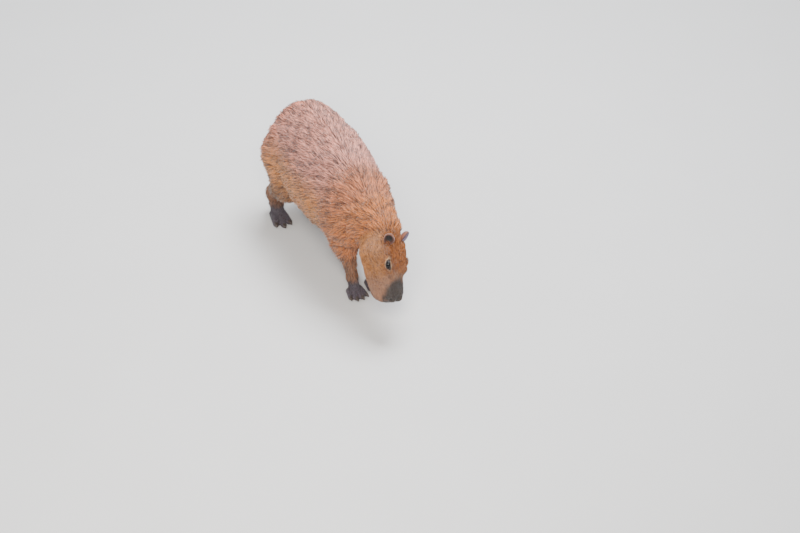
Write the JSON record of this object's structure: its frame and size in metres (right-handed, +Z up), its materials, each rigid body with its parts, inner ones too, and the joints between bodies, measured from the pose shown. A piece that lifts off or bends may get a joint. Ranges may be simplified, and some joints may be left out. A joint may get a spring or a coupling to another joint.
{
  "type": "capybara",
  "caption": "Life-size still model of a capybara that stands with its head lowered to graze and tilted to one side.",
  "frame": {"origin": "on the floor under the middle of the animal's bounding box", "axes": "+X forwards along the trunk, +Y to the animal's left, +Z up"},
  "size_m": [0.8278, 0.3074, 0.4641],
  "materials": {
    "coat": "coarse bristly coat, reddish brown with a pale sheen on the back",
    "head": "short bristly coat, orange brown, dark on top of the muzzle",
    "ear": "thin dark skin with short hair",
    "foot": "dark grey skin",
    "claw": "dark horn, half matt",
    "eye": "dark brown, wet and glossy"
  },
  "bodies": {
    "root": {"claw_forefoot_left_1": "claw", "claw_forefoot_left_2": "claw", "claw_forefoot_left_3": "claw", "claw_forefoot_left_4": "claw", "claw_forefoot_right_1": "claw", "claw_forefoot_right_2": "claw", "claw_forefoot_right_3": "claw", "claw_forefoot_right_4": "claw", "claw_hindfoot_left_1": "claw", "claw_hindfoot_left_2": "claw", "claw_hindfoot_left_3": "claw", "claw_hindfoot_right_1": "claw", "claw_hindfoot_right_2": "claw", "claw_hindfoot_right_3": "claw", "ear_left": "ear", "ear_right": "ear", "eye_left": "eye", "eye_right": "eye", "forefoot_left": "foot", "forefoot_right": "foot", "foreleg_left": "coat", "foreleg_right": "coat", "head": "head", "hindfoot_left": "foot", "hindfoot_right": "foot", "hindleg_left": "coat", "hindleg_right": "coat", "neck": "coat", "torso": "coat"}
  },
  "joints": []
}
